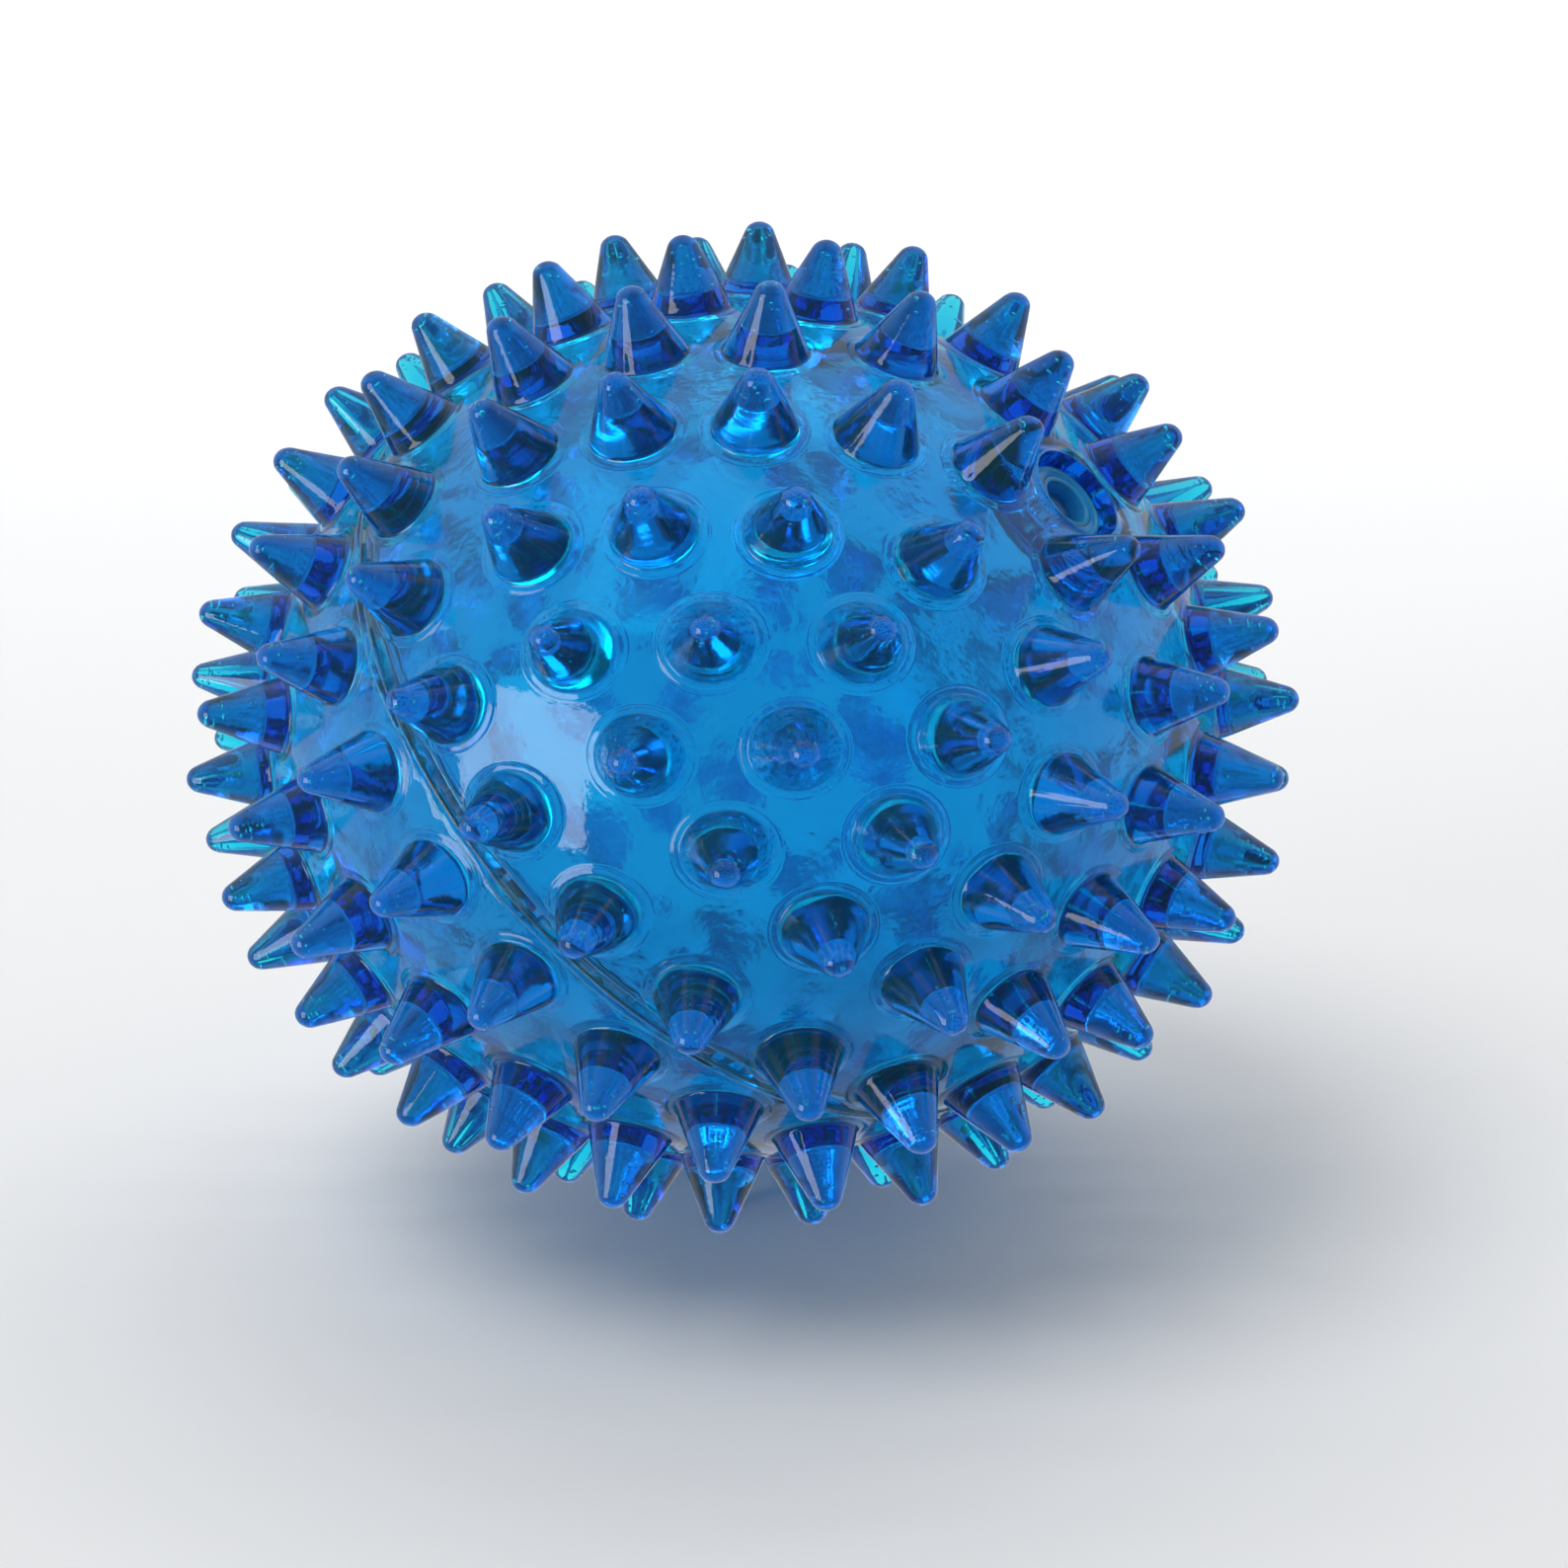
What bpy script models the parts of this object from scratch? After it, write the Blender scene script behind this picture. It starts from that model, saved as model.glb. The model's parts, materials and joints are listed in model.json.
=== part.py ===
"""Spiky hollow massage ball: two moulded half shells glued at an equatorial seam, with an air valve at one pole.

Everything is built about the mould axis, with the valve at local +Z. Two parent empties then lay the ball down:
one leans the mould axis over, and the one above it flattens the soft ball a little under its own weight.
"""

import math

import bmesh
import bpy
from mathutils import Matrix

# Ball, in metres
BODY_RADIUS = 0.0385
WALL = 0.003
SPIKE_HEIGHT = 0.0065
SPIKE_BASE_RADIUS = 0.0033
SPIKE_SHOULDER_RADIUS = 0.0012
SPIKE_SHOULDER_HEIGHT = 0.0057
SPIKE_ROOT_DEPTH = 0.0009
TOUCH_GAP = 0.0003

# Spikes stand in rings about the mould axis, the same on both halves: (spikes, first spike's bearing in degrees)
RING_STEP = 13.35
RINGS = ((5, 22.5), (9, 30.6), (15, 12.8), (19, 18.5), (23, 6.8))
SEAM_RING_ANGLE = 82.7
SEAM_RING = (24, 0.2)
PLAIN_HALF_TURN = 106.0

# Seam: a bead of adhesive between the two rims
BEAD_HALF_THICKNESS = 0.0003
BEAD_PROUD = 0.0004
BEAD_CROWN_START = 0.0002
BEAD_INSIDE = 0.0004

# Valve: a cup in the port half's pole, a seat bonded in its floor, and a stopper in the seat
CUP_MOUTH_RADIUS = 0.0042
CUP_FLOOR_RADIUS = 0.0038
CUP_FLOOR_Z = 0.0364
BOSS_TOP_RADIUS = 0.0070
BOSS_END_RADIUS = 0.0056
BOSS_END_Z = 0.0330
SEAT_SLEEVE_RADIUS = 0.0026
SEAT_FLANGE_THICKNESS = 0.0006
SEAT_MOUTH_RADIUS = 0.0020
SEAT_BORE_RADIUS = 0.0015
SEAT_STEP_DEPTH = 0.0021
PLUG_HEAD_THICKNESS = 0.0006
PLUG_OVERHANG = 0.0005
PLUG_LEAD = 0.0004

# How the ball lies
AXIS_LEAN = math.radians(50.4)
AXIS_HEADING = math.radians(-30.9)
SAG = 0.90

ROUND_STEPS = 40
ARC_STEPS = 8
SPIKE_STEPS = 8
VALVE_STEPS = 32
BEAD_STEPS = 64
SMOOTH_ANGLE = math.radians(35)

BLUE_PVC = ("blue_pvc", (0.010, 0.190, 0.520, 1.0), 0.12)
CLEAR_BLUE_PVC = ("clear_blue_pvc", (0.020, 0.250, 0.600, 1.0), 0.12)
SEAM_ADHESIVE = ("seam_adhesive", (0.100, 0.400, 0.700, 1.0), 0.30)
SEAT_PVC = ("seat_pvc", (0.015, 0.160, 0.480, 1.0), 0.22)
PLUG_PVC = ("plug_pvc", (0.006, 0.050, 0.260, 1.0), 0.30)


def clear_scene():
    for obj in list(bpy.data.objects):
        bpy.data.objects.remove(obj, do_unlink=True)


def plastic(name, colour, roughness):
    """A glossy see-through moulded plastic."""
    material = bpy.data.materials.new(name)
    material.use_nodes = True
    shader = material.node_tree.nodes["Principled BSDF"]
    shader.inputs["Base Color"].default_value = colour
    shader.inputs["Roughness"].default_value = roughness
    shader.inputs["Metallic"].default_value = 0.0
    shader.inputs["Transmission Weight"].default_value = 0.6
    return material


def arc(radius, start, end, steps):
    """(r, z) points along a circle about the ball's centre, by angle from the mould axis."""
    angles = [start + (end - start) * i / steps for i in range(steps + 1)]
    return [(radius * math.sin(a), radius * math.cos(a)) for a in angles]


def turned(profile, steps, closed):
    """A mesh turned about Z from (r, z) points; a closed profile is a loop that stays off the axis."""
    mesh = bmesh.new()
    points = [mesh.verts.new((r, 0.0, z)) for r, z in profile]
    edges = [mesh.edges.new(pair) for pair in zip(points, points[1:])]
    if closed:
        edges.append(mesh.edges.new((points[-1], points[0])))
    bmesh.ops.spin(
        mesh,
        geom=points + edges,
        cent=(0, 0, 0),
        axis=(0, 0, 1),
        angle=math.tau,
        steps=steps,
        use_merge=True,
    )
    bmesh.ops.remove_doubles(mesh, verts=mesh.verts, dist=1e-6)
    bmesh.ops.recalc_face_normals(mesh, faces=mesh.faces)
    return mesh


def new_object(name, mesh, parent, material=None):
    data = bpy.data.meshes.new(name)
    mesh.to_mesh(data)
    mesh.free()
    data.shade_smooth()
    data.set_sharp_from_angle(angle=SMOOTH_ANGLE)
    if material:
        data.materials.append(material)
    obj = bpy.data.objects.new(name, data)
    obj.parent = parent
    bpy.context.scene.collection.objects.link(obj)
    return obj


def spike_bearings():
    """(angle from the mould axis, bearing round it) of each spike on one half, in radians."""
    rings = [(RING_STEP * (i + 1), *ring) for i, ring in enumerate(RINGS)]
    rings.append((SEAM_RING_ANGLE, *SEAM_RING))
    for polar, count, first in rings:
        for i in range(count):
            yield math.radians(polar), math.radians(first + 360 * i / count)


def spike_cutter(name, parent, bearings):
    """Every spike of one half in a single helper: blunt cones with their roots sunk in the wall."""
    foot = BODY_RADIUS - SPIKE_ROOT_DEPTH
    profile = [
        (0.0, foot),
        (SPIKE_BASE_RADIUS, foot),
        (SPIKE_SHOULDER_RADIUS, BODY_RADIUS + SPIKE_SHOULDER_HEIGHT),
        (0.0, BODY_RADIUS + SPIKE_HEIGHT),
    ]
    spikes = bmesh.new()
    for polar, bearing in bearings:
        spike = turned(profile, SPIKE_STEPS, closed=False)
        aim = Matrix.Rotation(bearing, 3, "Z") @ Matrix.Rotation(polar, 3, "Y")
        bmesh.ops.rotate(spike, verts=spike.verts, matrix=aim)
        copy = bpy.data.meshes.new("one_spike")
        spike.to_mesh(copy)
        spike.free()
        spikes.from_mesh(copy)
        bpy.data.meshes.remove(copy)
    cutter = new_object(name, spikes, parent)
    cutter.hide_render = True
    cutter.display_type = "WIRE"
    return cutter


def add_spikes(shell, spikes):
    union = shell.modifiers.new("spikes", "BOOLEAN")
    union.operation = "UNION"
    union.solver = "EXACT"
    union.object = spikes


def rim_angles():
    """Angles from the mould axis at which the outer and inner wall reach the seam's gap."""
    rim_z = BEAD_HALF_THICKNESS + TOUCH_GAP
    return math.acos(rim_z / BODY_RADIUS), math.acos(rim_z / (BODY_RADIUS - WALL))


def port_half_profile():
    """The wall of the half with the valve, cut through: a loop from the cup's mouth round to its floor."""
    outer_rim, inner_rim = rim_angles()
    inner_radius = BODY_RADIUS - WALL
    outside = arc(BODY_RADIUS, math.asin(CUP_MOUTH_RADIUS / BODY_RADIUS), outer_rim, ARC_STEPS)
    inside = arc(inner_radius, inner_rim, math.asin(BOSS_TOP_RADIUS / inner_radius), ARC_STEPS)
    bore = SEAT_SLEEVE_RADIUS + TOUCH_GAP
    cup = [
        (BOSS_END_RADIUS, BOSS_END_Z),
        (bore, BOSS_END_Z),
        (bore, CUP_FLOOR_Z),
        (CUP_FLOOR_RADIUS, CUP_FLOOR_Z),
    ]
    return outside + inside + cup


def port_half_shell(parent, material):
    shell = new_object(
        "port_half_shell", turned(port_half_profile(), ROUND_STEPS, closed=True), parent, material
    )
    add_spikes(shell, spike_cutter("port_half_spikes", parent, spike_bearings()))
    return shell


def plain_half_shell(parent, material):
    """The half without a valve: a bowl, upside down on the mould axis, with one more spike at its pole."""
    outer_rim, inner_rim = rim_angles()
    inside = arc(BODY_RADIUS - WALL, 0.0, inner_rim, ARC_STEPS)
    outside = arc(BODY_RADIUS, outer_rim, 0.0, ARC_STEPS)
    bowl = turned([(r, -z) for r, z in inside + outside], ROUND_STEPS, closed=False)
    shell = new_object("plain_half_shell", bowl, parent, material)
    turn = math.radians(PLAIN_HALF_TURN)
    bearings = [(math.pi - polar, bearing + turn) for polar, bearing in spike_bearings()]
    bearings.append((math.pi, 0.0))
    add_spikes(shell, spike_cutter("plain_half_spikes", parent, bearings))
    return shell


def seam_bead(parent, material):
    inner = BODY_RADIUS - WALL - BEAD_INSIDE
    crown = BODY_RADIUS + BEAD_CROWN_START
    profile = [
        (inner, -BEAD_HALF_THICKNESS),
        (crown, -BEAD_HALF_THICKNESS),
        (BODY_RADIUS + BEAD_PROUD, 0.0),
        (crown, BEAD_HALF_THICKNESS),
        (inner, BEAD_HALF_THICKNESS),
    ]
    return new_object("seam_bead", turned(profile, BEAD_STEPS, closed=True), parent, material)


def seat_face_z():
    return CUP_FLOOR_Z + TOUCH_GAP + SEAT_FLANGE_THICKNESS


def valve_seat(parent, material):
    """A flanged sleeve on the cup's floor, with a stepped bore for the stopper."""
    face = seat_face_z()
    flange_radius = CUP_FLOOR_RADIUS - TOUCH_GAP
    flange_under = CUP_FLOOR_Z + TOUCH_GAP
    step = face - SEAT_STEP_DEPTH
    sleeve_end = BOSS_END_Z - TOUCH_GAP
    profile = [
        (SEAT_MOUTH_RADIUS, face),
        (flange_radius, face),
        (flange_radius, flange_under),
        (SEAT_SLEEVE_RADIUS, flange_under),
        (SEAT_SLEEVE_RADIUS, sleeve_end),
        (SEAT_BORE_RADIUS, sleeve_end),
        (SEAT_BORE_RADIUS, step),
        (SEAT_MOUTH_RADIUS, step),
    ]
    return new_object("valve_seat", turned(profile, VALVE_STEPS, closed=True), parent, material)


def valve_plug(parent, material):
    """The stopper. Its own origin is under its head, on the line along which it pulls out."""
    head_under = seat_face_z() - SEAT_STEP_DEPTH + TOUCH_GAP
    stem_radius = SEAT_BORE_RADIUS - TOUCH_GAP
    head_radius = SEAT_MOUTH_RADIUS - TOUCH_GAP
    stem_end = BOSS_END_Z - TOUCH_GAP - PLUG_OVERHANG - head_under
    profile = [
        (0.0, PLUG_HEAD_THICKNESS),
        (head_radius, PLUG_HEAD_THICKNESS),
        (head_radius, 0.0),
        (stem_radius, 0.0),
        (stem_radius, stem_end + PLUG_LEAD),
        (stem_radius - PLUG_LEAD, stem_end),
        (0.0, stem_end),
    ]
    plug = new_object("valve_plug", turned(profile, VALVE_STEPS, closed=False), parent, material)
    plug.location.z = head_under
    return plug


def laid_down():
    """Two empties: the mould axis leans inside the one that flattens the ball."""
    sagging = bpy.data.objects.new("sagging_ball", None)
    sagging.scale = (1.0, 1.0, SAG)
    mould = bpy.data.objects.new("mould_axis", None)
    mould.rotation_euler = (0.0, AXIS_LEAN, AXIS_HEADING)
    mould.parent = sagging
    for empty in (sagging, mould):
        bpy.context.scene.collection.objects.link(empty)
    return sagging, mould


def set_on_ground(empty, parts):
    """Moves the ball so that its lowest spikes stand at Z = 0, with the middle of its box above the origin."""
    bpy.context.view_layer.update()
    graph = bpy.context.evaluated_depsgraph_get()
    places = []
    for part in parts:
        solid = part.evaluated_get(graph)
        places += [solid.matrix_world @ vertex.co for vertex in solid.to_mesh().vertices]
        solid.to_mesh_clear()
    low = [min(place[axis] for place in places) for axis in range(3)]
    high = [max(place[axis] for place in places) for axis in range(3)]
    empty.location = (-(low[0] + high[0]) / 2, -(low[1] + high[1]) / 2, -low[2])
    bpy.context.view_layer.update()


def main():
    clear_scene()
    sagging, mould = laid_down()
    parts = [
        port_half_shell(mould, plastic(*BLUE_PVC)),
        plain_half_shell(mould, plastic(*CLEAR_BLUE_PVC)),
        seam_bead(mould, plastic(*SEAM_ADHESIVE)),
        valve_seat(mould, plastic(*SEAT_PVC)),
        valve_plug(mould, plastic(*PLUG_PVC)),
    ]
    set_on_ground(sagging, parts)


main()
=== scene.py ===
"""Spiky massage ball: clear blue moulded halves, seam adhesive and valve, round the CAD frame."""

import json
import math

import bmesh
import bpy
import numpy as np
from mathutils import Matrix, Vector, geometry

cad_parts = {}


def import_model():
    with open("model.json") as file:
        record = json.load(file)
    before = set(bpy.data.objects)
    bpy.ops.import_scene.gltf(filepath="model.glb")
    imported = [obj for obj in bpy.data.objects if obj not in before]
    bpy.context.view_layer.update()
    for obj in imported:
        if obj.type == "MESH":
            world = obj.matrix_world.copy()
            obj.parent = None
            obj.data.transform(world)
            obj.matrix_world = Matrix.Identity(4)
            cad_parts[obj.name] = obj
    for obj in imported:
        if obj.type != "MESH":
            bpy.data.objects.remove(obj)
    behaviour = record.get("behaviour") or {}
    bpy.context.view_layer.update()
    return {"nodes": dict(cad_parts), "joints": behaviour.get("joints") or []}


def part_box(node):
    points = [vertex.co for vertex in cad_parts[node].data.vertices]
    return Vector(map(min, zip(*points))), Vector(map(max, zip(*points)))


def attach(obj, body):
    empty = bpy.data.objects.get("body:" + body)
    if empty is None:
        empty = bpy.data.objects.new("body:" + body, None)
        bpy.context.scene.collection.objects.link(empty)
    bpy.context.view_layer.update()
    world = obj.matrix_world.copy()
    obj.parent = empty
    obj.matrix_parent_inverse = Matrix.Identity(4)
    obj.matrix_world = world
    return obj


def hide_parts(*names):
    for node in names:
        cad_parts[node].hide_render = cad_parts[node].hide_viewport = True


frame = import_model()

MM = 0.001

# Ball, as in the CAD model; heights are along the mould's axis from the ball's centre
BODY_RADIUS = 38.5 * MM
WALL = 3.0 * MM
SPIKE_HEIGHT = 6.5 * MM
SAG = 0.90
CUP_MOUTH_RADIUS = 4.2 * MM
CUP_FLOOR_RADIUS = 3.8 * MM
CUP_FLOOR_Z = 36.4 * MM
CUP_LIP_WIDTH = 0.4 * MM
BOSS_RADIUS = 7.0 * MM
BOSS_END_RADIUS = 5.6 * MM
BOSS_END_Z = 33.0 * MM
BOSS_BORE_RADIUS = 2.9 * MM

# Valve
SEAT_FACE_Z = 37.3 * MM
SEAT_MOUTH_RADIUS = 2.0 * MM
SEAT_STEP_DEPTH = 2.1 * MM
SEAT_FLANGE_RADIUS = 3.5 * MM
SEAT_FLANGE_THICKNESS = 0.6 * MM
SEAT_SLEEVE_RADIUS = 2.6 * MM
SEAT_BORE_RADIUS = 1.5 * MM
SEAT_END_Z = BOSS_END_Z - 0.3 * MM
PLUG_HEAD_TOP = SEAT_FACE_Z - 1.2 * MM
PLUG_HEAD_RADIUS = 1.7 * MM
PLUG_HEAD_THICKNESS = 0.6 * MM
PLUG_STEM_RADIUS = 1.2 * MM
PLUG_END_Z = BOSS_END_Z - 0.8 * MM

# Fine shape of a spike: (distance from its axis, height above the ball)
SPIKE_SIDES = 28
SPIKE_FOOT_RADIUS = 4.22 * MM
SPIKE_COLLAR = (
    (4.02 * MM, 0.0),
    (3.90 * MM, 0.05 * MM),
    (3.80 * MM, 0.08 * MM),
    (3.48 * MM, 0.09 * MM),
    (3.36 * MM, 0.12 * MM),
)
SPIKE_ROOT = (
    (3.25 * MM, 0.26 * MM),
    (3.13 * MM, 0.55 * MM),
    (2.96 * MM, 1.00 * MM),
)
SPIKE_CONE_RADIUS = 3.3 * MM
SPIKE_CONE_SLOPE = 0.368
SPIKE_TIP_RADIUS = 1.25 * MM
SPIKE_SIDE_STEPS = 5
SPIKE_TIP_STEPS = 7

# Inner wall: depth and width of the sink mark under a spike, of its pucker, and the slow waves
SINK_DEPTH, SINK_WIDTH = 0.42 * MM, 2.7 * MM
PUCKER_DEPTH, PUCKER_WIDTH = 0.11 * MM, 1.9 * MM
WAVE_COUNT, WAVE_DEPTH, WAVE_RATE = 10, 0.075 * MM, 9.0

# Fineness of the half shells' walls, and how the points of the outer one are told apart
SEAM_STEPS = 350
INNER_RINGS = 63
FILL_SPACING = 1.15 * MM
EDGE_RING = 0
FILL_POINT = -1

# The halves overlap by a hair at the seam, because a gap there would act as a mirror
RIM_OVERLAP = 0.03 * MM

# Adhesive, in millimetres: streaks as (seed, offset, half width), smears with a height too
BEAD_STEPS = 720
BEAD_ROOT = 0.06 * MM
OUTER_STREAKS = ((51, -0.7, 0.08), (57, 1.4, 0.07))
INNER_SMEARS = ((31, 0.0, 0.60, 0.16), (37, -1.5, 0.25, 0.07))

CAMERA_ELEVATION = math.radians(15.0)
CAMERA_DISTANCE = 7.0 * BODY_RADIUS
CAMERA_LENS = 75.7
CAMERA_SHIFT = (0.027, -0.039)

FLOOR_RADIUS = 0.9
SWEEP_RADIUS = 0.6

ABSORPTION_COLOUR = (0.05, 0.880, 0.983)


# ---------------------------------------------------------------- frame of the mould


def ball_centre():
    """The seam bead is a ring about the ball's centre, so the middle of its box is that centre."""
    low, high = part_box("seam_bead")
    return (np.array(low) + np.array(high)) / 2


def mould_to_row():
    """The matrix from mould coordinates, with the valve at +Z, to the row's axes, sag included."""
    pull = next(j for j in frame["joints"] if j["name"] == "plug_pull")
    pole = np.array(pull["axis"]) / (1.0, 1.0, SAG)
    pole /= np.linalg.norm(pole)
    lean = math.acos(pole[2])
    heading = math.atan2(pole[1], pole[0])
    tilt = np.array(
        [
            [math.cos(lean), 0, math.sin(lean)],
            [0, 1, 0],
            [-math.sin(lean), 0, math.cos(lean)],
        ]
    )
    turn = np.array(
        [
            [math.cos(heading), -math.sin(heading), 0],
            [math.sin(heading), math.cos(heading), 0],
            [0, 0, 1],
        ]
    )
    return np.diag((1.0, 1.0, SAG)) @ turn @ tilt


CENTRE = ball_centre()
LAY = mould_to_row()


def to_row(points):
    return np.asarray(points) @ LAY.T + CENTRE


def to_mould(points):
    return (np.asarray(points) - CENTRE) @ np.linalg.inv(LAY).T


def spike_axes(node):
    """Unit vectors in the mould along a half shell's spikes; the tips are its outermost points."""
    vertices = np.array([v.co for v in frame["nodes"][node].data.vertices])
    places = to_mould(vertices)
    reach = np.linalg.norm(places, axis=1)
    tips = places[reach > BODY_RADIUS + SPIKE_HEIGHT - 0.1 * MM]
    axes = []
    for tip in tips / np.linalg.norm(tips, axis=1)[:, None]:
        if all(tip @ other < 0.999 for other in axes):
            axes.append(tip)
    return np.array(axes)


# ---------------------------------------------------------------- mesh helpers


def icosahedron():
    """Points and faces of a unit icosahedron."""
    bm = bmesh.new()
    bmesh.ops.create_icosphere(bm, subdivisions=1, radius=1.0)
    points = np.array([v.co for v in bm.verts])
    faces = [tuple(v.index for v in f.verts) for f in bm.faces]
    bm.free()
    return points, faces


BUBBLE_POINTS, BUBBLE_FACES = icosahedron()


class Mesh:
    """Points and faces gathered piece by piece, in mould coordinates."""

    def __init__(self):
        self.points = []
        self.faces = []
        self.bubbles = None

    def add(self, points):
        """Adds the points and returns their numbers."""
        start = len(self.points)
        self.points.extend(map(tuple, points))
        return list(range(start, start + len(points)))

    def bridge(self, lower, upper):
        """Quads between two rings of the same length."""
        count = len(lower)
        for i in range(count):
            j = (i + 1) % count
            self.faces.append((lower[i], lower[j], upper[j], upper[i]))

    def cap(self, ring, apex):
        """Triangles from a ring to one point."""
        count = len(ring)
        for i in range(count):
            self.faces.append((ring[i], ring[(i + 1) % count], apex))

    def data(self, name):
        data = bpy.data.meshes.new(name)
        data.from_pydata(to_row(self.points).tolist(), [], self.faces)
        return data

    def piece(self, name, body, slot, nodes, material):
        """Makes the visible object with its faces outward, then adds the bubbles, wound inward."""
        data = self.data(name)
        bm = bmesh.new()
        bm.from_mesh(data)
        bmesh.ops.recalc_face_normals(bm, faces=bm.faces)
        if self.bubbles:
            bm.from_mesh(self.bubbles.data(name + "_bubbles"))
        bm.to_mesh(data)
        bm.free()
        data.shade_smooth()
        data.materials.append(material)
        obj = bpy.data.objects.new(name, data)
        bpy.context.scene.collection.objects.link(obj)
        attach(obj, body)
        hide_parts(*nodes)


def ring_points(radius, z, count):
    angles = np.arange(count) * math.tau / count
    return np.stack([radius * np.cos(angles), radius * np.sin(angles), np.full(count, z)], axis=1)


def axes_round(direction):
    """Two unit vectors across a direction."""
    helper = np.array((0.0, 0.0, 1.0)) if abs(direction[2]) < 0.9 else np.array((1.0, 0.0, 0.0))
    side = np.cross(helper, direction)
    side /= np.linalg.norm(side)
    return side, np.cross(direction, side)


def rounded_path(corners, radius, steps=4):
    """A polyline whose inner corners are short curves that start the given distance from them."""
    corners = [np.array(c, float) for c in corners]
    path = [corners[0]]
    for before, corner, after in zip(corners, corners[1:], corners[2:]):
        into = before - corner
        out = after - corner
        reach = min(radius, 0.45 * np.linalg.norm(into), 0.45 * np.linalg.norm(out))
        start = corner + into / np.linalg.norm(into) * reach
        end = corner + out / np.linalg.norm(out) * reach
        for i in range(steps + 1):
            t = i / steps
            path.append((1 - t) ** 2 * start + 2 * t * (1 - t) * corner + t * t * end)
    path.append(corners[-1])
    return path


# ---------------------------------------------------------------- half shells


def spike_profile():
    """(distance from the axis, height above the ball) from the foot to just short of the apex."""
    tip_centre = SPIKE_HEIGHT - SPIKE_TIP_RADIUS
    root_r, root_h = SPIKE_ROOT[-1]
    slope = math.atan2(root_r - SPIKE_TIP_RADIUS, tip_centre - root_h)
    shoulder_r = SPIKE_TIP_RADIUS * math.cos(slope)
    shoulder_h = tip_centre + SPIKE_TIP_RADIUS * math.sin(slope)
    profile = [(SPIKE_FOOT_RADIUS, 0.0), *SPIKE_COLLAR, *SPIKE_ROOT]
    for i in range(1, SPIKE_SIDE_STEPS + 1):
        t = i / SPIKE_SIDE_STEPS
        profile.append((root_r + (shoulder_r - root_r) * t, root_h + (shoulder_h - root_h) * t))
    for i in range(1, SPIKE_TIP_STEPS):
        angle = slope + (math.pi / 2 - slope) * i / SPIKE_TIP_STEPS
        profile.append(
            (SPIKE_TIP_RADIUS * math.cos(angle), tip_centre + SPIKE_TIP_RADIUS * math.sin(angle))
        )
    return profile


def spike_ring(axis, radius, height, rng):
    """A ring of points about a spike's axis.

    Near the foot it follows the ball's curve, and higher up it is flat. The moulded skin is a
    little uneven, most of all at the tip."""
    side, across = axes_round(axis)
    angles = np.arange(SPIKE_SIDES) * math.tau / SPIKE_SIDES
    drop = math.sqrt(BODY_RADIUS**2 - radius**2)
    along = drop + height
    if height > SPIKE_ROOT[-1][1]:
        along = BODY_RADIUS + height
    elif height > 0:
        blend = height / SPIKE_ROOT[-1][1]
        along = (1 - blend) * (drop + height) + blend * (BODY_RADIUS + height)
    rough = 0.0
    if height > SPIKE_ROOT[0][1]:
        rough = (0.0012 + 0.012 * (height / SPIKE_HEIGHT) ** 6) * MM
    radii = radius + rough * rng.normal(size=SPIKE_SIDES)
    rim = radii[:, None] * (np.cos(angles)[:, None] * side + np.sin(angles)[:, None] * across)
    return rim + along * axis


def spread_points(count):
    """Evenly spread unit vectors over the whole sphere."""
    i = np.arange(count) + 0.5
    z = 1 - 2 * i / count
    angle = math.pi * (1 + math.sqrt(5)) * i
    r = np.sqrt(1 - z * z)
    return np.stack([r * np.cos(angle), r * np.sin(angle), z], axis=1)


def flat_map(points, sign):
    """Stereographic map about the half's own pole, which keeps circles round."""
    unit = points / np.linalg.norm(points, axis=1)[:, None]
    return unit[:, :2] / (1 + sign * unit[:, 2])[:, None]


def skin_between(mesh, holes, edge, sign):
    """Covers the ball between the spikes' feet, the valve's mouth and the seam with triangles."""
    count = int(4 * math.pi * BODY_RADIUS**2 / (0.866 * FILL_SPACING**2))
    fill = spread_points(count) * BODY_RADIUS
    fill = fill[sign * fill[:, 2] > 0.6 * FILL_SPACING]
    for centre, radius in holes["discs"]:
        clear = np.linalg.norm(fill - centre * BODY_RADIUS, axis=1) > radius + 0.55 * FILL_SPACING
        fill = fill[clear]
    fill_ids = mesh.add(fill)
    ids = []
    owner = []
    edges = []
    for number, ring in enumerate([edge, *holes["rings"]]):
        start = len(ids)
        ids += ring
        owner += [number] * len(ring)
        edges += [(start + i, start + (i + 1) % len(ring)) for i in range(len(ring))]
    ids += fill_ids
    owner += [FILL_POINT] * len(fill_ids)
    flat = flat_map(np.array([mesh.points[i] for i in ids]), sign)
    cut = geometry.delaunay_2d_cdt([Vector(p) for p in flat], edges, [], 0, 1e-7)
    back = [sources[0] for sources in cut[3]]
    for face in cut[2]:
        corners = [back[v] for v in face]
        owners = {owner[c] for c in corners}
        across_a_hole = len(owners) == 1 and owners.pop() > EDGE_RING
        if not across_a_hole:
            mesh.faces.append(tuple(ids[c] for c in corners))


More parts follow.
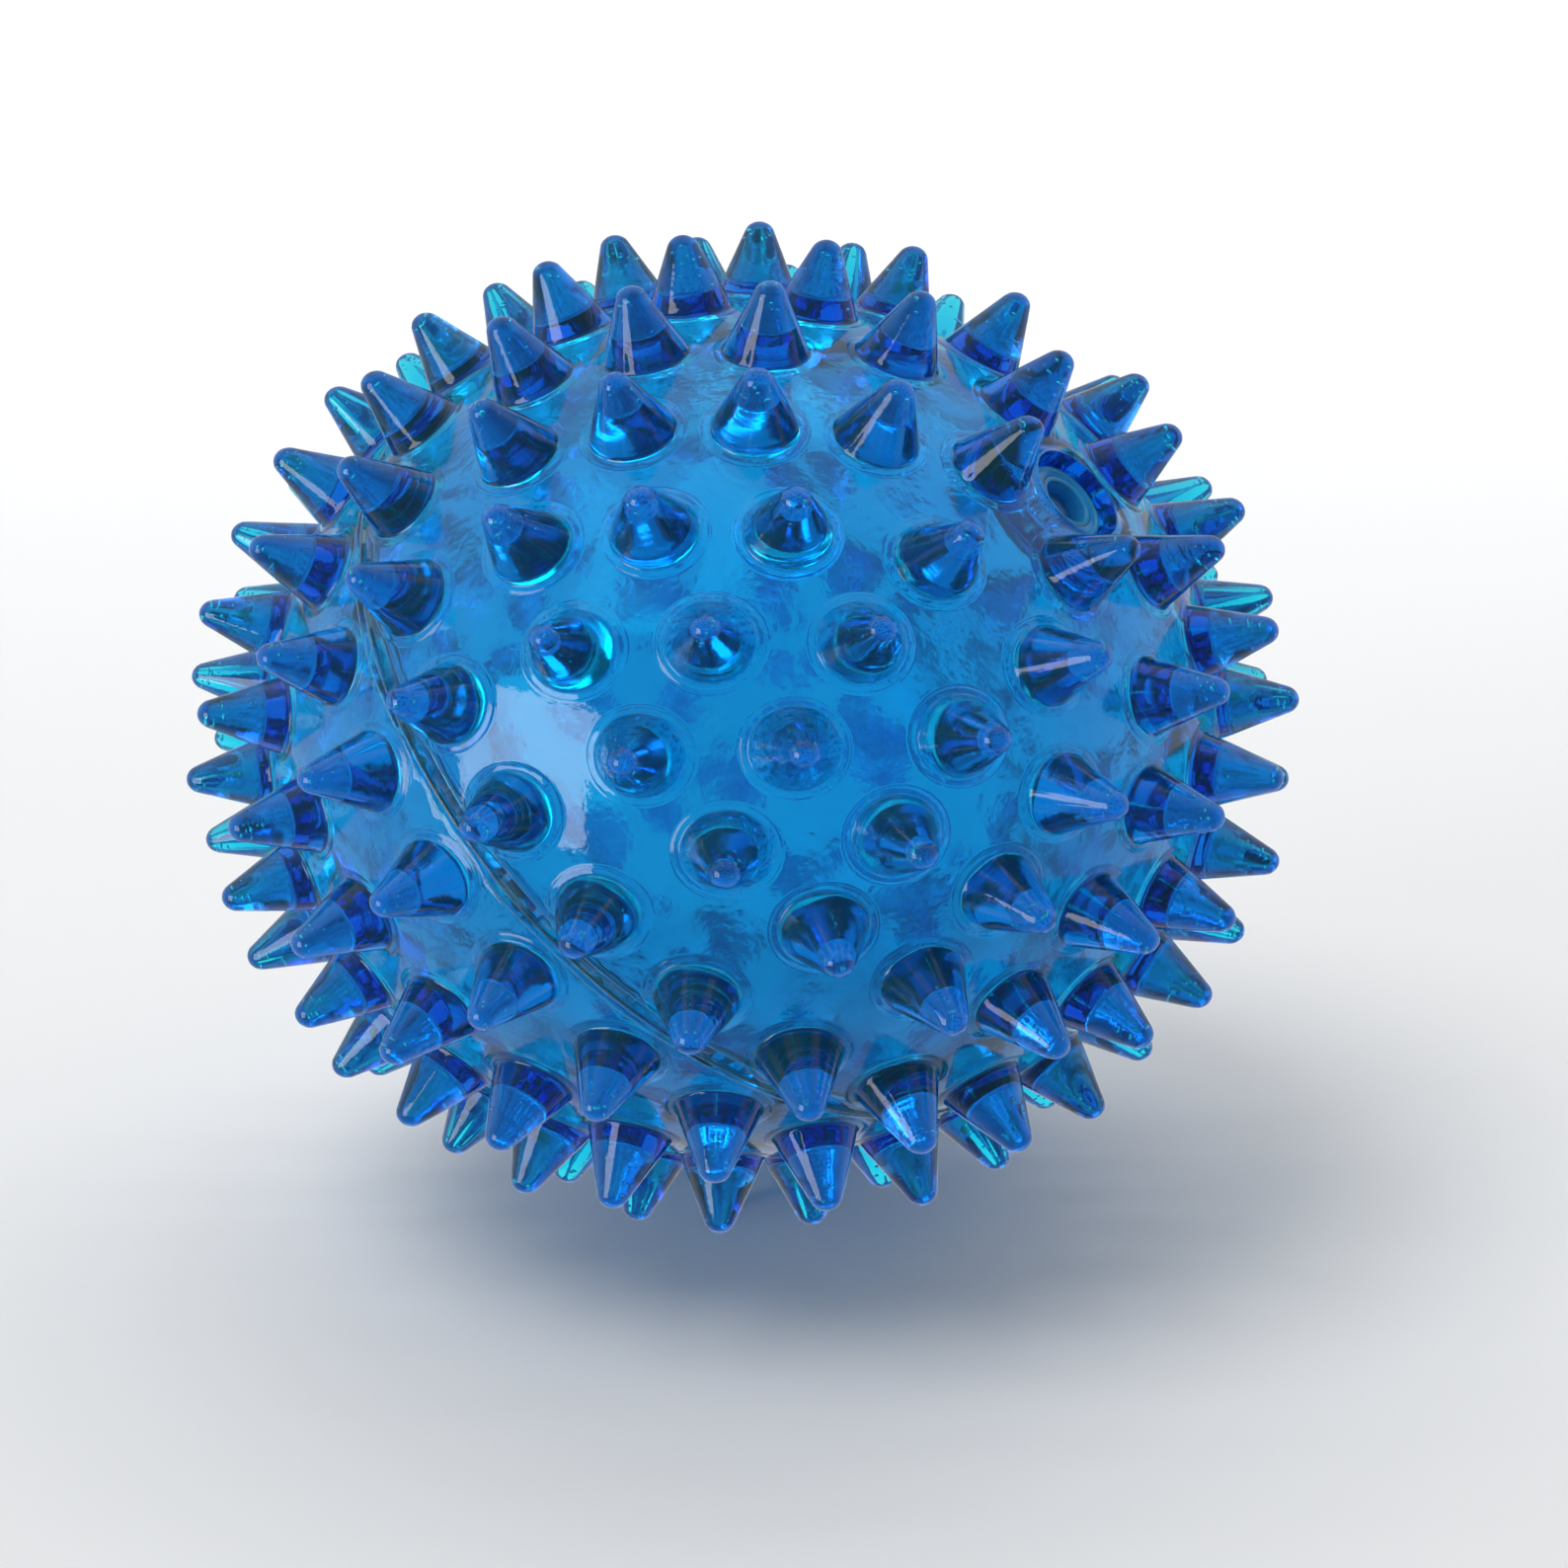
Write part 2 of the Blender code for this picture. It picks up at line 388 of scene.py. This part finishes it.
def inner_radius(units, axes, seed):
    """Radii of the frosted inner wall along one of its rings of unit vectors.

    It has a puckered sink mark under each spike and a slow waviness. Each ring has a pucker of
    its own, seeded by its height, and all share the waves."""
    rng = np.random.default_rng(seed)
    ring_seed = int(abs(units[0, 2]) * 1e6)
    pucker = np.random.default_rng(ring_seed).normal(size=len(units))
    radius = np.full(len(units), BODY_RADIUS - WALL)
    for axis in axes:
        away = np.linalg.norm(units - axis, axis=1) * (BODY_RADIUS - WALL)
        radius = radius + SINK_DEPTH * np.exp(-((away / SINK_WIDTH) ** 2))
        radius = radius + PUCKER_DEPTH * pucker * np.exp(-((away / PUCKER_WIDTH) ** 4))
    for _ in range(WAVE_COUNT):
        wave = rng.normal(size=3) * WAVE_RATE
        radius = radius + WAVE_DEPTH * np.sin(units @ wave + rng.uniform(0, math.tau))
    return radius


def seam_wander(angles, seed):
    """A random wave round the seam, made of a few whole cycles so that it closes on itself."""
    rng = np.random.default_rng(seed)
    wave = np.zeros(len(angles))
    for k in (3, 5, 8, 13, 21):
        wave += np.sin(k * angles + rng.uniform(0, math.tau)) / math.sqrt(k)
    return wave


def spike(mesh, axis, rng):
    """Adds one spike with its bubbles and returns the ring at its foot."""
    profile = spike_profile()
    foot = ring = mesh.add(spike_ring(axis, *profile[0], rng))
    for radius, height in profile[1:]:
        above = mesh.add(spike_ring(axis, radius, height, rng))
        mesh.bridge(ring, above)
        ring = above
    apex = mesh.add([axis * (BODY_RADIUS + SPIKE_HEIGHT)])[0]
    mesh.cap(ring, apex)
    bubbles_in_spike(mesh.bubbles, axis, rng)
    return foot


def inner_wall(mesh, edge, seam_z, mouth, axes, seed, sign):
    """The inner wall, from the rim at the seam to the valve's boss or, without one, the pole."""
    ring = edge
    end = mouth["angle"] if mouth else 0.0
    for i in range(INNER_RINGS + 1):
        angle = math.pi / 2 + (end - math.pi / 2) * i / INNER_RINGS
        if angle == 0.0:
            break
        units = ring_points(math.sin(angle), sign * math.cos(angle), SEAM_STEPS)
        points = units * inner_radius(units, axes, seed)[:, None]
        if i == 0:
            points[:, 2] = seam_z
        if i == INNER_RINGS:
            points = units * (BODY_RADIUS - WALL)
        above = mesh.add(points)
        mesh.bridge(ring, above)
        ring = above
    if mouth:
        mesh.bridge(ring, mouth["inner"])
    else:
        pole = np.array([(0.0, 0.0, -1.0)])
        apex = mesh.add(pole * inner_radius(pole, axes, seed)[:, None])[0]
        mesh.cap(ring, apex)


def half_shell(sign, axes, seed):
    """Mesh of one half; sign is +1 for the half with the valve and -1 for the plain one."""
    mesh = Mesh()
    mesh.bubbles = Mesh()
    rng = np.random.default_rng(seed + 100)
    rings = [spike(mesh, axis, rng) for axis in axes]
    discs = [(axis, SPIKE_FOOT_RADIUS) for axis in axes]
    seam_z = -sign * RIM_OVERLAP
    edge_points = ring_points(math.sqrt(BODY_RADIUS**2 - seam_z**2), seam_z, SEAM_STEPS)
    edge = mesh.add(edge_points)
    mouth = None
    if sign > 0:
        mouth = valve_cup(mesh)
        bubbles_by_cup(mesh.bubbles, rng)
        rings.append(mouth["outer"])
        discs.append((np.array((0.0, 0.0, 1.0)), mouth["radius"]))
    skin_between(mesh, {"discs": discs, "rings": rings}, edge, sign)
    inner_wall(mesh, edge, seam_z, mouth, axes, seed, sign)
    return mesh


def bubble(mesh, centre, radius):
    """A tiny air bubble, wound inside out, because the air is inside it."""
    ids = mesh.add(centre + BUBBLE_POINTS * radius)
    for a, b, c in BUBBLE_FACES:
        mesh.faces.append((ids[c], ids[b], ids[a]))


def bubbles_in_spike(mesh, axis, rng):
    """Most bubbles gather in the tip, where the mould fills last."""
    side, across = axes_round(axis)
    for _ in range(rng.integers(5, 12)):
        size = rng.uniform(0.07, 0.17) * MM
        height = SPIKE_HEIGHT - 0.9 * MM - rng.exponential(1.1 * MM)
        height = max(height, 0.6 * MM)
        room = 0.72 * (SPIKE_CONE_RADIUS - SPIKE_CONE_SLOPE * height) - size
        angle = rng.uniform(0, math.tau)
        away = room * math.sqrt(rng.uniform(0.05, 1.0))
        aside = away * (math.cos(angle) * side + math.sin(angle) * across)
        bubble(mesh, (BODY_RADIUS + height) * axis + aside, size)


def bubbles_by_cup(mesh, rng):
    """Air trapped in the wall along one side of the cup."""
    for _ in range(60):
        angle = math.radians(rng.normal(262, 26))
        away = CUP_MOUTH_RADIUS + rng.uniform(0.35, 1.5) * MM
        z = rng.uniform(35.9, 37.6) * MM
        centre = np.array((away * math.cos(angle), away * math.sin(angle), z))
        bubble(mesh, centre, rng.uniform(0.08, 0.24) * MM)


def valve_cup(mesh):
    """The port in the pole: raised lip, the cup's wall and floor, the seat's bore and the boss."""
    lip_radius = CUP_MOUTH_RADIUS + CUP_LIP_WIDTH
    inner = BODY_RADIUS - WALL
    corners = [
        (lip_radius, math.sqrt(BODY_RADIUS**2 - lip_radius**2)),
        (lip_radius - 0.18 * MM, BODY_RADIUS - 0.12 * MM),
        (CUP_MOUTH_RADIUS, BODY_RADIUS - 0.06 * MM),
        (CUP_FLOOR_RADIUS + 0.04 * MM, CUP_FLOOR_Z),
        (BOSS_BORE_RADIUS, CUP_FLOOR_Z),
        (BOSS_BORE_RADIUS, BOSS_END_Z),
        (BOSS_END_RADIUS, BOSS_END_Z),
        (BOSS_RADIUS, math.sqrt(inner**2 - BOSS_RADIUS**2)),
    ]
    path = rounded_path(corners, 0.3 * MM)
    rings = [mesh.add(ring_points(r, z, SEAM_STEPS)) for r, z in path]
    for ring, above in zip(rings, rings[1:]):
        mesh.bridge(ring, above)
    return {
        "outer": rings[0],
        "inner": rings[-1],
        "radius": lip_radius,
        "angle": math.asin(BOSS_RADIUS / inner),
    }


# ---------------------------------------------------------------- seam bead and valve


def seam_bead():
    """Adhesive: an uneven ridge squeezed out of the seam, fine streaks by it, and smears inside."""
    mesh = Mesh()
    angles = np.arange(BEAD_STEPS) * math.tau / BEAD_STEPS
    wave = seam_wander(angles, 7)
    fine = seam_wander(angles * 7, 11)
    proud = (0.11 + 0.03 * wave + 0.02 * fine) * MM
    proud = np.clip(proud, 0.04 * MM, 0.20 * MM)
    drift = 0.06 * MM * seam_wander(angles, 23)
    ridge(mesh, angles, BODY_RADIUS, proud, (0.15 + 0.03 * fine) * MM, drift, +1)
    for seed, offset, width in OUTER_STREAKS:
        rise = np.clip(0.002 + 0.014 * seam_wander(angles, seed), -0.03, 0.03) * MM
        sway = 0.18 * seam_wander(angles, seed + 1) + 0.04 * seam_wander(angles * 3, seed)
        ridge(mesh, angles, BODY_RADIUS, rise, width * MM, (offset + sway) * MM, +1)
    inside = BODY_RADIUS - WALL
    for seed, offset, width, height in INNER_SMEARS:
        lump = seam_wander(angles, seed)
        fine = seam_wander(angles * 5, seed + 1)
        depth = np.clip((height + 0.06 * lump + 0.03 * fine) * MM, 0.03 * MM, 0.5 * MM)
        drift = (offset + 0.25 * seam_wander(angles, seed + 2)) * MM
        ridge(mesh, angles, inside, depth, width * (1 + 0.2 * fine) * MM, drift, -1)
    return mesh


def ridge(mesh, angles, radius, proud, half_width, drift, way):
    """A closed ridge along the seam: way is +1 on the outside of the wall and -1 on the inside.

    It stands proud of the wall and is rooted a little way into it."""
    turns = 8
    rows = []
    for k in range(turns):
        around = math.tau * k / turns
        lift = math.sin(around)
        rise = np.where(lift > 0, proud * lift, BEAD_ROOT * lift)
        r = radius + way * rise
        z = drift + half_width * math.cos(around)
        rows.append(mesh.add(np.stack([r * np.cos(angles), r * np.sin(angles), z], axis=1)))
    for k in range(turns):
        mesh.bridge(rows[k], rows[(k + 1) % turns])


def lathe(corners, rounding, steps, closed):
    """A turned body with rounded corners from (r, z) corners; closed means it has a bore."""
    mesh = Mesh()
    if closed:
        start = (np.array(corners[0]) + np.array(corners[-1])) / 2
        corners = [start, *corners, start]
    path = rounded_path(corners, rounding)
    if closed:
        path = path[:-1]
    rings = []
    for r, z in path:
        on_axis = r < 1e-7
        rings.append(mesh.add([(0.0, 0.0, z)] if on_axis else ring_points(r, z, steps)))
    for lower, upper in zip(rings, rings[1:]):
        if len(lower) == 1:
            mesh.cap(upper, lower[0])
        elif len(upper) == 1:
            mesh.cap(lower, upper[0])
        else:
            mesh.bridge(lower, upper)
    if closed:
        mesh.bridge(rings[-1], rings[0])
    return mesh


def valve_seat():
    """A flanged sleeve with a soft raised ring round its mouth."""
    face = SEAT_FACE_Z
    step = face - SEAT_STEP_DEPTH
    corners = [
        (SEAT_MOUTH_RADIUS, face - 0.12 * MM),
        (SEAT_MOUTH_RADIUS + 0.16 * MM, face),
        (SEAT_MOUTH_RADIUS + 0.42 * MM, face),
        (SEAT_MOUTH_RADIUS + 0.55 * MM, face - 0.10 * MM),
        (SEAT_FLANGE_RADIUS - 0.38 * MM, face - 0.10 * MM),
        (SEAT_FLANGE_RADIUS - 0.26 * MM, face),
        (SEAT_FLANGE_RADIUS, face - 0.03 * MM),
        (SEAT_FLANGE_RADIUS, face - SEAT_FLANGE_THICKNESS),
        (SEAT_SLEEVE_RADIUS, face - SEAT_FLANGE_THICKNESS),
        (SEAT_SLEEVE_RADIUS, SEAT_END_Z),
        (SEAT_BORE_RADIUS, SEAT_END_Z),
        (SEAT_BORE_RADIUS, step),
        (SEAT_MOUTH_RADIUS, step),
    ]
    return lathe(corners, rounding=0.08 * MM, steps=96, closed=True)


def valve_plug():
    """The stopper: a shallow dished head on a stem with a tapered end."""
    top = PLUG_HEAD_TOP
    under = top - PLUG_HEAD_THICKNESS
    corners = [
        (0.0, top - 0.14 * MM),
        (0.60 * MM, top - 0.12 * MM),
        (1.00 * MM, top),
        (PLUG_HEAD_RADIUS, top - 0.04 * MM),
        (PLUG_HEAD_RADIUS, under),
        (PLUG_STEM_RADIUS, under),
        (PLUG_STEM_RADIUS, PLUG_END_Z + 0.4 * MM),
        (PLUG_STEM_RADIUS - 0.4 * MM, PLUG_END_Z),
        (0.0, PLUG_END_Z),
    ]
    return lathe(corners, rounding=0.1 * MM, steps=72, closed=False)


# ---------------------------------------------------------------- materials


def math_node(tree, operation, *values):
    """The output of a Math node, each of whose inputs is a socket or a number."""
    node = tree.nodes.new("ShaderNodeMath")
    node.operation = operation
    for socket, value in zip(node.inputs, values):
        if isinstance(value, bpy.types.NodeSocket):
            tree.links.new(value, socket)
        else:
            socket.default_value = value
    return node.outputs[0]


def noise(tree, place, scale, detail):
    """The output of a Noise Texture node."""
    node = tree.nodes.new("ShaderNodeTexNoise")
    node.inputs["Scale"].default_value = scale
    node.inputs["Detail"].default_value = detail
    tree.links.new(place, node.inputs["Vector"])
    return node.outputs["Fac"]


def inner_wall_mask(tree, place):
    """1 on the ball's inner wall and deeper, 0 outside it, by the distance from the centre."""
    centred = tree.nodes.new("ShaderNodeVectorMath")
    centred.operation = "SUBTRACT"
    centred.inputs[1].default_value = CENTRE
    tree.links.new(place, centred.inputs[0])
    unsag = tree.nodes.new("ShaderNodeVectorMath")
    unsag.operation = "DIVIDE"
    unsag.inputs[1].default_value = (1.0, 1.0, SAG)
    tree.links.new(centred.outputs[0], unsag.inputs[0])
    reach = tree.nodes.new("ShaderNodeVectorMath")
    reach.operation = "LENGTH"
    tree.links.new(unsag.outputs[0], reach.inputs[0])
    return math_node(tree, "LESS_THAN", reach.outputs["Value"], BODY_RADIUS - 0.75 * WALL)


def smeared_roughness(tree, place, inside, gloss, frosting):
    """A glossy surface with faint smears, frosted on the inner wall."""
    smear = tree.nodes.new("ShaderNodeMapRange")
    smear.inputs["From Min"].default_value = 0.35
    smear.inputs["From Max"].default_value = 0.75
    smear.inputs["To Min"].default_value = gloss
    smear.inputs["To Max"].default_value = gloss + 0.05
    tree.links.new(noise(tree, place, 90.0, 4.0), smear.inputs["Value"])
    return math_node(tree, "MULTIPLY_ADD", inside, frosting, smear.outputs["Result"])


def moulded_relief(tree, place, inside):
    """Fine grain all over, and a much stronger orange peel on the inner wall."""
    grain = noise(tree, place, 1500.0, 2.0)
    peel = noise(tree, place, 260.0, 3.0)
    pitted = math_node(tree, "MULTIPLY", peel, inside)
    bump = tree.nodes.new("ShaderNodeBump")
    bump.inputs["Strength"].default_value = 1.0
    bump.inputs["Distance"].default_value = 0.012 * MM
    height = math_node(tree, "MULTIPLY_ADD", pitted, 9.0, grain)
    tree.links.new(height, bump.inputs["Height"])
    return bump.outputs[0]


def clear_plastic(name, tint, clear, density, gloss, frosting=0.0, inner_tint=None):
    """See-through soft plastic, coloured at its surfaces and by its depth.

    With inner_tint, the ball's inner wall takes that deeper colour and the rest of the skin takes
    tint, a lighter teal that is partly painted light brightening the spikes' tips."""
    material = bpy.data.materials.new(name)
    material.use_nodes = True
    tree = material.node_tree
    shader = tree.nodes["Principled BSDF"]
    shader.inputs["Transmission Weight"].default_value = clear
    shader.inputs["IOR"].default_value = 1.50
    shader.inputs["Specular IOR Level"].default_value = 0.3
    shader.inputs["Base Color"].default_value = (*tint, 1.0)
    volume = tree.nodes.new("ShaderNodeVolumeAbsorption")
    volume.inputs["Color"].default_value = (*ABSORPTION_COLOUR, 1.0)
    volume.inputs["Density"].default_value = density
    tree.links.new(volume.outputs[0], tree.nodes["Material Output"].inputs["Volume"])

    place = tree.nodes.new("ShaderNodeTexCoord").outputs["Object"]
    inside = inner_wall_mask(tree, place)
    # Painted light: the outer skin and spikes get the lighter tint so the tips look brighter; the
    # inner wall gets the deeper inner_tint.
    if inner_tint:
        skin = tree.nodes.new("ShaderNodeMix")
        skin.data_type = "RGBA"
        skin.inputs["A"].default_value = (*tint, 1.0)
        skin.inputs["B"].default_value = (*inner_tint, 1.0)
        tree.links.new(inside, skin.inputs["Factor"])
        tree.links.new(skin.outputs["Result"], shader.inputs["Base Color"])
    roughness = smeared_roughness(tree, place, inside, gloss, frosting)
    tree.links.new(roughness, shader.inputs["Roughness"])
    tree.links.new(moulded_relief(tree, place, inside), shader.inputs["Normal"])
    return material


def plastics():
    """One material for each slot."""
    half = {
        # tint is the plastic's teal lightened as painted light on the spikes' tips; inner_tint is
        # the deeper blue of the inner wall.
        "tint": (0.14, 0.88, 0.93),
        "inner_tint": (0.10, 0.55, 0.86),
        "clear": 0.96,
        "density": 700.0,
        "gloss": 0.02,
        "frosting": 0.09,
    }
    looks = {
        "port_half_pvc": half,
        "plain_half_pvc": half,
        "seam_adhesive": {
            # Pale whitish tint: partly the adhesive's own colour and partly painted highlight that
            # lightens the seam ridge.
            "tint": (0.55, 0.88, 0.99),
            "clear": 0.93,
            "density": 250.0,
            "gloss": 0.03,
        },
        "valve_seat_pvc": {
            "tint": (0.04, 0.42, 0.78),
            "clear": 0.55,
            "density": 500.0,
            "gloss": 0.12,
        },
        "valve_plug_pvc": {
            "tint": (0.03, 0.30, 0.70),
            "clear": 0.75,
            "density": 1500.0,
            "gloss": 0.14,
        },
    }
    return {name: clear_plastic(name, **look) for name, look in looks.items()}


# ---------------------------------------------------------------- stage


def emitter(name, place, target, size, power):
    """A white rectangular lamp that faces the target."""
    data = bpy.data.lights.new(name, "AREA")
    data.shape = "RECTANGLE"
    data.size, data.size_y = size
    data.energy = power
    light = bpy.data.objects.new(name, data)
    light.location = place
    light.rotation_euler = (Vector(target) - Vector(place)).to_track_quat("-Z", "Y").to_euler()
    bpy.context.scene.collection.objects.link(light)
    return light


def from_camera(right, up, toward, distance):
    """A place given by direction in the camera's own axes about the ball's centre."""
    sin_e, cos_e = math.sin(CAMERA_ELEVATION), math.cos(CAMERA_ELEVATION)
    way = Vector((right, up * sin_e - toward * cos_e, up * cos_e + toward * sin_e)).normalized()
    return Vector(CENTRE) + way * distance


def camera():
    """A camera at the photograph's viewing angle."""
    data = bpy.data.cameras.new("camera")
    data.lens = CAMERA_LENS
    data.sensor_width = 36.0
    data.shift_x, data.shift_y = CAMERA_SHIFT
    obj = bpy.data.objects.new("camera", data)
    obj.location = from_camera(0, 0, 1, CAMERA_DISTANCE)
    obj.rotation_euler = (Vector(CENTRE) - obj.location).to_track_quat("-Z", "Y").to_euler()
    bpy.context.scene.collection.objects.link(obj)
    bpy.context.scene.camera = obj


def floor_sweep():
    """A pale floor that curves up into a backdrop all round."""
    profile = [(0.0, 0.0), (FLOOR_RADIUS, 0.0)]
    steps = 12
    for i in range(1, steps + 1):
        angle = math.pi / 2 * i / steps
        out = FLOOR_RADIUS + SWEEP_RADIUS * math.sin(angle)
        profile.append((out, SWEEP_RADIUS - SWEEP_RADIUS * math.cos(angle)))
    mesh = bmesh.new()
    points = [mesh.verts.new((r, 0, z)) for r, z in profile]
    edges = [mesh.edges.new(pair) for pair in zip(points, points[1:])]
    bmesh.ops.spin(
        mesh,
        geom=points + edges,
        axis=(0, 0, 1),
        cent=(0, 0, 0),
        angle=math.tau,
        steps=64,
        use_merge=True,
    )
    bmesh.ops.remove_doubles(mesh, verts=mesh.verts, dist=1e-5)
    data = bpy.data.meshes.new("floor")
    mesh.to_mesh(data)
    mesh.free()
    data.shade_smooth()
    obj = bpy.data.objects.new("floor", data)
    bpy.context.scene.collection.objects.link(obj)
    material = bpy.data.materials.new("floor")
    material.use_nodes = True
    shader = material.node_tree.nodes["Principled BSDF"]
    shader.inputs["Base Color"].default_value = (0.90, 0.90, 0.90, 1.0)
    shader.inputs["Roughness"].default_value = 0.6
    data.materials.append(material)
    obj.visible_glossy = False


def world():
    """Soft surroundings, dim behind the camera and brighter beyond the ball."""
    surroundings = bpy.data.worlds.new("studio")
    surroundings.use_nodes = True
    tree = surroundings.node_tree
    background = tree.nodes["Background"]
    place = tree.nodes.new("ShaderNodeTexCoord")
    split = tree.nodes.new("ShaderNodeSeparateXYZ")
    tree.links.new(place.outputs["Generated"], split.inputs[0])
    fade = tree.nodes.new("ShaderNodeMapRange")
    fade.interpolation_type = "SMOOTHSTEP"
    fade.inputs["From Min"].default_value = -0.7
    fade.inputs["From Max"].default_value = 0.4
    fade.inputs["To Min"].default_value = 0.08
    fade.inputs["To Max"].default_value = 0.64
    tree.links.new(split.outputs["Y"], fade.inputs["Value"])
    tree.links.new(fade.outputs["Result"], background.inputs["Strength"])
    background.inputs["Color"].default_value = (0.96, 0.98, 1.0, 1.0)
    bpy.context.scene.world = surroundings


def studio():
    """Camera, floor and lights: a window that the ball mirrors, a lit backdrop and daylight."""
    world()
    floor_sweep()
    window_place = from_camera(-0.76, -0.11, 0.62, 0.9)
    emitter("window", window_place, CENTRE, (0.5, 0.6), 4.2)
    wash = emitter("backdrop_wash", (0.0, 0.45, 0.95), (0.0, 1.35, 0.1), (1.2, 0.3), 7.0)
    wash.visible_glossy = False
    daylight = bpy.data.lights.new("daylight", "SUN")
    daylight.energy = 1.15
    daylight.angle = math.radians(35)
    sky = bpy.data.objects.new("daylight", daylight)
    sky.rotation_euler = Vector((-0.45, -0.30, 1.0)).to_track_quat("Z", "Y").to_euler()
    sky.visible_glossy = False
    bpy.context.scene.collection.objects.link(sky)
    bpy.context.scene.view_settings.view_transform = "Standard"
    camera()


# ---------------------------------------------------------------- assembly


def main():
    studio()
    materials = plastics()
    port_half = half_shell(+1, spike_axes("port_half_shell"), seed=5)
    plain_half = half_shell(-1, spike_axes("plain_half_shell"), seed=6)
    pieces = (
        (port_half, "port_half", "ball", "port_half_pvc", "port_half_shell"),
        (plain_half, "plain_half", "ball", "plain_half_pvc", "plain_half_shell"),
        (seam_bead(), "seam_adhesive_bead", "ball", "seam_adhesive", "seam_bead"),
        (valve_seat(), "valve_seat_ring", "ball", "valve_seat_pvc", "valve_seat"),
        (valve_plug(), "valve_stopper", "plug", "valve_plug_pvc", "valve_plug"),
    )
    for mesh, name, body, slot, node in pieces:
        mesh.piece(name, body, slot, [node], materials[slot])


main()
